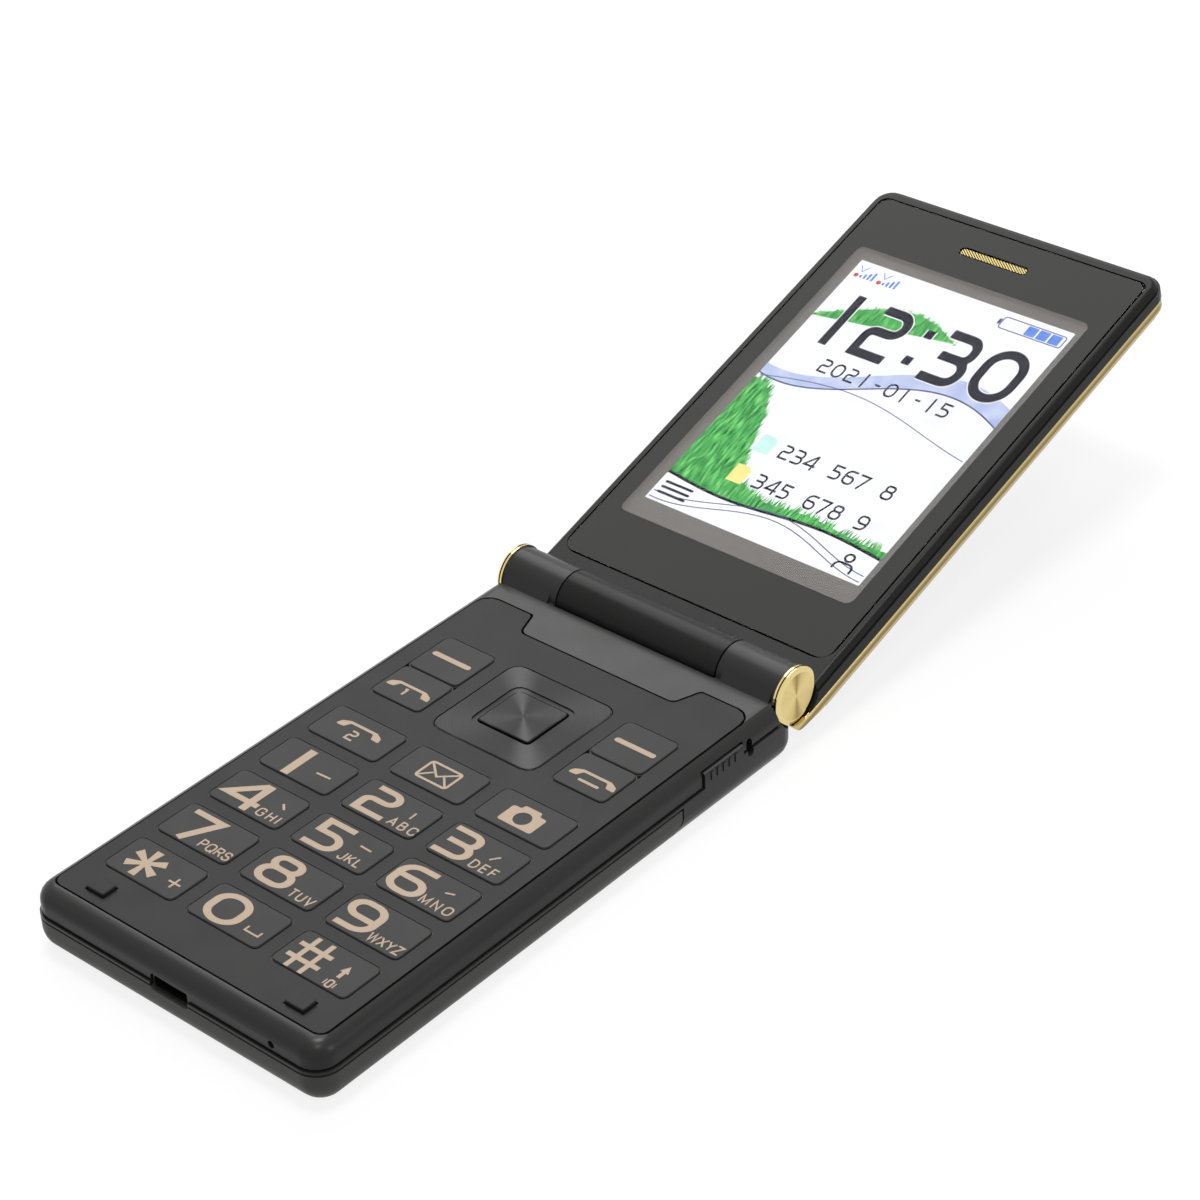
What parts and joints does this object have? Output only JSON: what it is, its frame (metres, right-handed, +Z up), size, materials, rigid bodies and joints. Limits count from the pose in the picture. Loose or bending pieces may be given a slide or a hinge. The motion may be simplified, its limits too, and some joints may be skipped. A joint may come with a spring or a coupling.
{
  "type": "flip phone",
  "caption": "Folding mobile phone with a keypad half and a screen half on a barrel hinge, drawn fully open, with pressing keys and a sliding battery cover.",
  "frame": {"origin": "centre of the keypad half's flat underside", "axes": "+Z up out of the keypad, +Y from the keypad's front edge to the hinge, +X to the right when the phone is read"},
  "size_m": [0.0567, 0.1965, 0.0368],
  "materials": {
    "casing": "fine satin texture",
    "cover_plastic": "fine satin texture",
    "panel_plastic": "smooth satin",
    "key_plastic": "smooth satin with printed symbols",
    "gold": "plated and brushed",
    "lens": "polished dark window",
    "display": "smooth",
    "rubber": "matte",
    "steel": "brushed",
    "board": "solder mask",
    "battery_sleeve": "smooth sleeve",
    "dark_plastic": "moulded",
    "copper": "plated"
  },
  "bodies": {
    "base": {"upper_housing": "casing", "lower_housing": "casing", "battery": "battery_sleeve", "battery_contacts": "dark_plastic", "sim_socket": "steel", "main_board": "board", "key_mat": "rubber", "keypad_panel": "panel_plastic", "usb_socket": "steel", "microphone": "steel", "loudspeaker": "dark_plastic", "vibration_motor": "steel", "antenna": "copper", "hinge_cap_left": "gold", "hinge_cap_right": "gold", "hinge_module": "steel", "hinge_pin": "steel", "bumper_left": "rubber", "bumper_right": "rubber", "base_screw_front_left": "steel", "base_screw_front_right": "steel", "base_screw_rear_left": "steel", "base_screw_rear_right": "steel"},
    "battery_cover": {"battery_cover": "cover_plastic"},
    "nav_web": {"nav_web": "rubber"},
    "nav_ring": {"nav_ring": "key_plastic"},
    "key_ok": {"key_ok": "key_plastic"},
    "lid": {"lid_front_housing": "casing", "lid_back_cover": "cover_plastic", "lid_trim": "gold", "lid_glass": "lens", "display_module": "display", "earpiece_grille": "gold", "earpiece_speaker": "dark_plastic", "lid_board": "board", "camera_module": "dark_plastic", "camera_window": "lens", "lid_screw_left": "steel", "lid_screw_right": "steel"},
    "key_star": {"key_star": "key_plastic"},
    "key_0": {"key_0": "key_plastic"},
    "key_hash": {"key_hash": "key_plastic"},
    "key_7": {"key_7": "key_plastic"},
    "key_8": {"key_8": "key_plastic"},
    "key_9": {"key_9": "key_plastic"},
    "key_4": {"key_4": "key_plastic"},
    "key_5": {"key_5": "key_plastic"},
    "key_6": {"key_6": "key_plastic"},
    "key_1": {"key_1": "key_plastic"},
    "key_2": {"key_2": "key_plastic"},
    "key_3": {"key_3": "key_plastic"},
    "key_call_two": {"key_call_two": "key_plastic"},
    "key_message": {"key_message": "key_plastic"},
    "key_camera": {"key_camera": "key_plastic"},
    "key_soft_left": {"key_soft_left": "key_plastic"},
    "key_soft_right": {"key_soft_right": "key_plastic"},
    "key_call_one": {"key_call_one": "key_plastic"},
    "key_call_end": {"key_call_end": "key_plastic"}
  },
  "joints": [
    {"name": "lid_hinge", "type": "hinge", "parent": "base", "child": "lid", "pos_m": [0, 0.05005, 0.00957], "axis": [1, 0, 0], "range_deg": [0, 162.68]},
    {"name": "cover_slide", "type": "slide", "parent": "base", "child": "battery_cover", "axis": [0, -1, 0], "range_m": [0, 0.075]},
    {"name": "nav_tilt_fore_aft", "type": "hinge", "parent": "base", "child": "nav_web", "pos_m": [0, 0.02105, 0.0083], "axis": [1, 0, 0], "range_deg": [-0.9, 0.9], "stiffness_Nm_per_rad": 1},
    {"name": "nav_tilt_side", "type": "hinge", "parent": "nav_web", "child": "nav_ring", "pos_m": [0, 0.02105, 0.0083], "axis": [0, 1, 0], "range_deg": [-0.9, 0.9], "stiffness_Nm_per_rad": 1},
    {"name": "press_key_ok", "type": "slide", "parent": "base", "child": "key_ok", "axis": [0, 0, -1], "range_m": [0, 0.00025], "stiffness_N_per_m": 3000},
    {"name": "press_key_soft_left", "type": "slide", "parent": "base", "child": "key_soft_left", "axis": [0, 0, -1], "range_m": [0, 0.00025], "stiffness_N_per_m": 3000},
    {"name": "press_key_soft_right", "type": "slide", "parent": "base", "child": "key_soft_right", "axis": [0, 0, -1], "range_m": [0, 0.00025], "stiffness_N_per_m": 3000},
    {"name": "press_key_call_one", "type": "slide", "parent": "base", "child": "key_call_one", "axis": [0, 0, -1], "range_m": [0, 0.00025], "stiffness_N_per_m": 3000},
    {"name": "press_key_call_end", "type": "slide", "parent": "base", "child": "key_call_end", "axis": [0, 0, -1], "range_m": [0, 0.00025], "stiffness_N_per_m": 3000},
    {"name": "press_key_star", "type": "slide", "parent": "base", "child": "key_star", "axis": [0, 0, -1], "range_m": [0, 0.00025], "stiffness_N_per_m": 3000},
    {"name": "press_key_0", "type": "slide", "parent": "base", "child": "key_0", "axis": [0, 0, -1], "range_m": [0, 0.00025], "stiffness_N_per_m": 3000},
    {"name": "press_key_hash", "type": "slide", "parent": "base", "child": "key_hash", "axis": [0, 0, -1], "range_m": [0, 0.00025], "stiffness_N_per_m": 3000},
    {"name": "press_key_7", "type": "slide", "parent": "base", "child": "key_7", "axis": [0, 0, -1], "range_m": [0, 0.00025], "stiffness_N_per_m": 3000},
    {"name": "press_key_8", "type": "slide", "parent": "base", "child": "key_8", "axis": [0, 0, -1], "range_m": [0, 0.00025], "stiffness_N_per_m": 3000},
    {"name": "press_key_9", "type": "slide", "parent": "base", "child": "key_9", "axis": [0, 0, -1], "range_m": [0, 0.00025], "stiffness_N_per_m": 3000},
    {"name": "press_key_4", "type": "slide", "parent": "base", "child": "key_4", "axis": [0, 0, -1], "range_m": [0, 0.00025], "stiffness_N_per_m": 3000},
    {"name": "press_key_5", "type": "slide", "parent": "base", "child": "key_5", "axis": [0, 0, -1], "range_m": [0, 0.00025], "stiffness_N_per_m": 3000},
    {"name": "press_key_6", "type": "slide", "parent": "base", "child": "key_6", "axis": [0, 0, -1], "range_m": [0, 0.00025], "stiffness_N_per_m": 3000},
    {"name": "press_key_1", "type": "slide", "parent": "base", "child": "key_1", "axis": [0, 0, -1], "range_m": [0, 0.00025], "stiffness_N_per_m": 3000},
    {"name": "press_key_2", "type": "slide", "parent": "base", "child": "key_2", "axis": [0, 0, -1], "range_m": [0, 0.00025], "stiffness_N_per_m": 3000},
    {"name": "press_key_3", "type": "slide", "parent": "base", "child": "key_3", "axis": [0, 0, -1], "range_m": [0, 0.00025], "stiffness_N_per_m": 3000},
    {"name": "press_key_call_two", "type": "slide", "parent": "base", "child": "key_call_two", "axis": [0, 0, -1], "range_m": [0, 0.00025], "stiffness_N_per_m": 3000},
    {"name": "press_key_message", "type": "slide", "parent": "base", "child": "key_message", "axis": [0, 0, -1], "range_m": [0, 0.00025], "stiffness_N_per_m": 3000},
    {"name": "press_key_camera", "type": "slide", "parent": "base", "child": "key_camera", "axis": [0, 0, -1], "range_m": [0, 0.00025], "stiffness_N_per_m": 3000}
  ]
}
